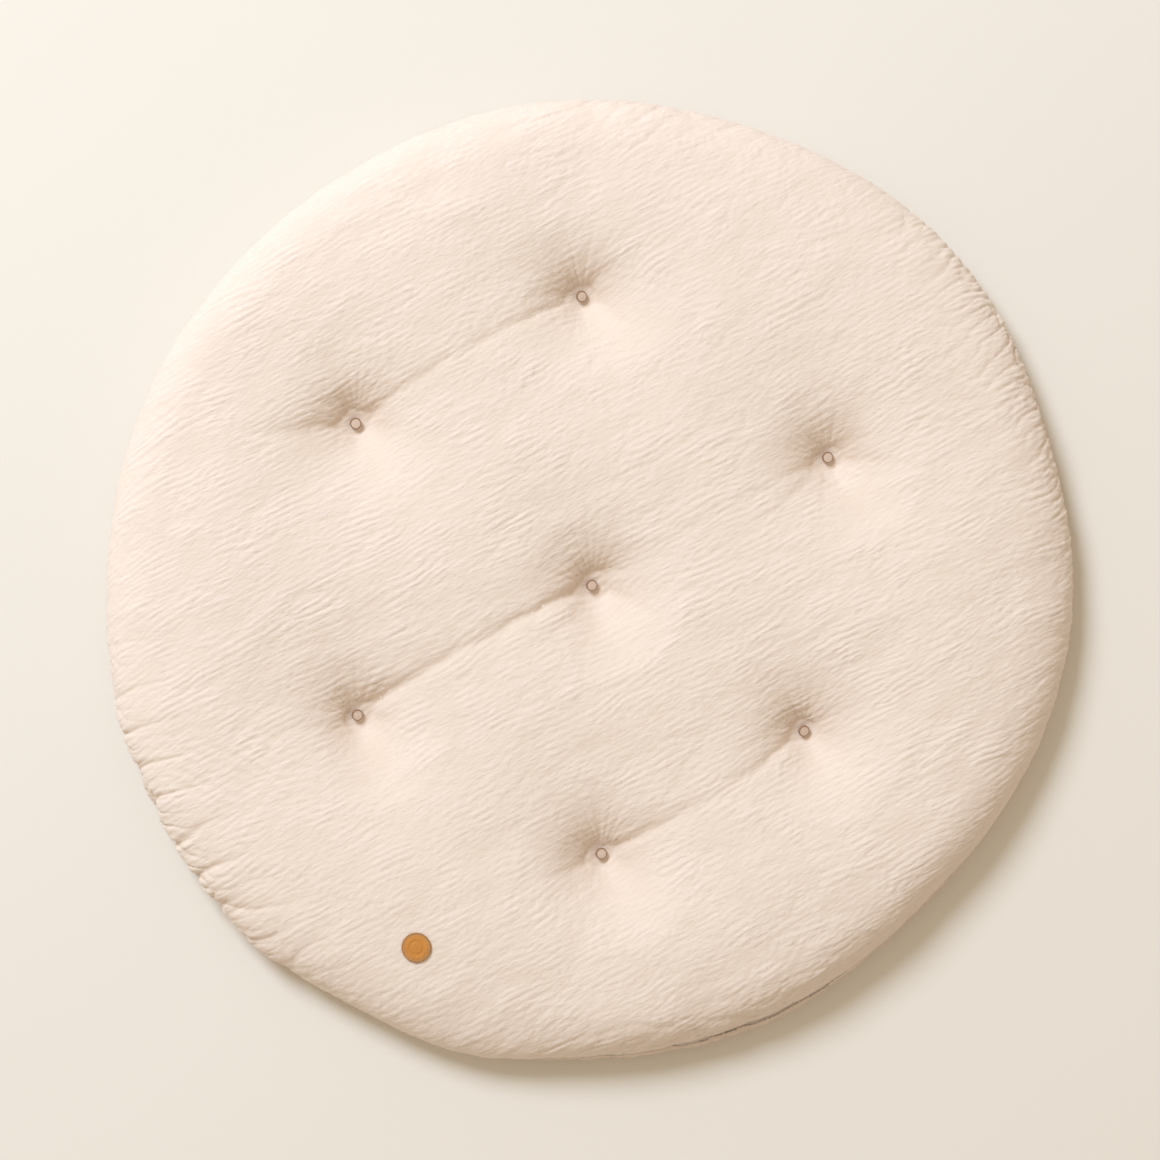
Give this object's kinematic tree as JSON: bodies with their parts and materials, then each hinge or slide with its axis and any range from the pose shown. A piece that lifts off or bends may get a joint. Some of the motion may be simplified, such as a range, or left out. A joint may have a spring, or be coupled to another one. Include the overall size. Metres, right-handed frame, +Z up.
{
  "type": "seat pad",
  "caption": "Large round tufted seat pad in undyed crinkled cotton gauze, with sunken self-coloured buttons and a small round leather label near the rim.",
  "frame": {"origin": "on the surface that the pad lies on, under the middle of its outline", "axes": "+Z up out of the tufted top face; the label is towards -Y and a little towards -X"},
  "size_m": [0.8996, 0.8956, 0.0622],
  "materials": {
    "cloth": "crinkled cotton double gauze",
    "wadding": "fibre wadding",
    "thread": "twisted cotton thread",
    "button": "satin",
    "label": "smooth vegetable-tanned"
  },
  "bodies": {
    "root": {"top_cover": "cloth", "bottom_cover": "cloth", "wadding_lower": "wadding", "wadding_middle": "wadding", "wadding_upper": "wadding", "closing_stitches": "thread", "edge_seam_thread": "thread", "top_button_1": "button", "top_button_2": "button", "top_button_3": "button", "top_button_4": "button", "top_button_5": "button", "top_button_6": "button", "top_button_7": "button", "bottom_button_1": "button", "bottom_button_2": "button", "bottom_button_3": "button", "bottom_button_4": "button", "bottom_button_5": "button", "bottom_button_6": "button", "bottom_button_7": "button", "tufting_twine_1": "thread", "tufting_twine_2": "thread", "tufting_twine_3": "thread", "tufting_twine_4": "thread", "tufting_twine_5": "thread", "tufting_twine_6": "thread", "tufting_twine_7": "thread", "leather_label": "label", "label_stitching": "thread"}
  },
  "joints": []
}
